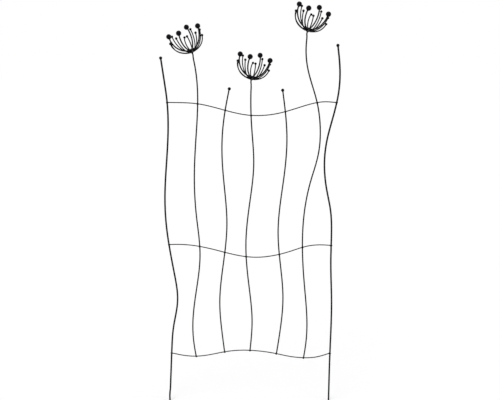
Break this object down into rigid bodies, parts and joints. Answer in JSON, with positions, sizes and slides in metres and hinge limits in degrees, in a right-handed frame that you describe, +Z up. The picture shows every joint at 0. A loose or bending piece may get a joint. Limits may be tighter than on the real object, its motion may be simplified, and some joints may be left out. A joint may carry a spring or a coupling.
{
  "type": "garden trellis",
  "caption": "Flat garden trellis of wavy round rods: stakes that push into the soil, stems joined by crossbars, and flower heads of bent wires that end in balls and buds.",
  "frame": {"origin": "on the soil line, midway between the lines of the two stakes, in the contact plane of the uprights and the crossbars", "axes": "+X along the crossbars to the right as seen in the picture, +Y to the back, +Z up"},
  "size_m": [0.5079, 0.1018, 1.195],
  "materials": {
    "rod_paint": "black powder coat on round steel rod, satin",
    "ball_paint": "black powder coat on steel balls, satin, a little smoother than the rods"
  },
  "bodies": {
    "root": {"crossbar_bottom": "rod_paint", "crossbar_middle": "rod_paint", "crossbar_top": "rod_paint", "stake_left": "rod_paint", "stake_right": "rod_paint", "short_stem_left": "rod_paint", "short_stem_right": "rod_paint", "flower_stem_left": "rod_paint", "flower_stem_centre": "rod_paint", "flower_stem_right": "rod_paint", "flower_left_hub": "rod_paint", "flower_left_ball_ray_1": "rod_paint", "flower_left_ball_ray_2": "rod_paint", "flower_left_ball_ray_3": "rod_paint", "flower_left_ball_ray_4": "rod_paint", "flower_left_bud_wire_1": "rod_paint", "flower_left_bud_wire_2": "rod_paint", "flower_left_bud_wire_3": "rod_paint", "flower_left_bud_wire_4": "rod_paint", "flower_left_bud_wire_5": "rod_paint", "flower_centre_hub": "rod_paint", "flower_centre_ball_ray_1": "rod_paint", "flower_centre_ball_ray_2": "rod_paint", "flower_centre_ball_ray_3": "rod_paint", "flower_centre_ball_ray_4": "rod_paint", "flower_centre_bud_wire_1": "rod_paint", "flower_centre_bud_wire_2": "rod_paint", "flower_centre_bud_wire_3": "rod_paint", "flower_centre_bud_wire_4": "rod_paint", "flower_centre_bud_wire_5": "rod_paint", "flower_right_hub": "rod_paint", "flower_right_ball_ray_1": "rod_paint", "flower_right_ball_ray_2": "rod_paint", "flower_right_ball_ray_3": "rod_paint", "flower_right_ball_ray_4": "rod_paint", "flower_right_bud_wire_1": "rod_paint", "flower_right_bud_wire_2": "rod_paint", "flower_right_bud_wire_3": "rod_paint", "flower_right_bud_wire_4": "rod_paint", "flower_right_bud_wire_5": "rod_paint", "end_ball_stake_left": "ball_paint", "end_ball_stake_right": "ball_paint", "end_ball_short_stem_left": "ball_paint", "end_ball_short_stem_right": "ball_paint", "flower_left_ball_1": "ball_paint", "flower_left_ball_2": "ball_paint", "flower_left_ball_3": "ball_paint", "flower_left_ball_4": "ball_paint", "flower_centre_ball_1": "ball_paint", "flower_centre_ball_2": "ball_paint", "flower_centre_ball_3": "ball_paint", "flower_centre_ball_4": "ball_paint", "flower_right_ball_1": "ball_paint", "flower_right_ball_2": "ball_paint", "flower_right_ball_3": "ball_paint", "flower_right_ball_4": "ball_paint"}
  },
  "joints": []
}
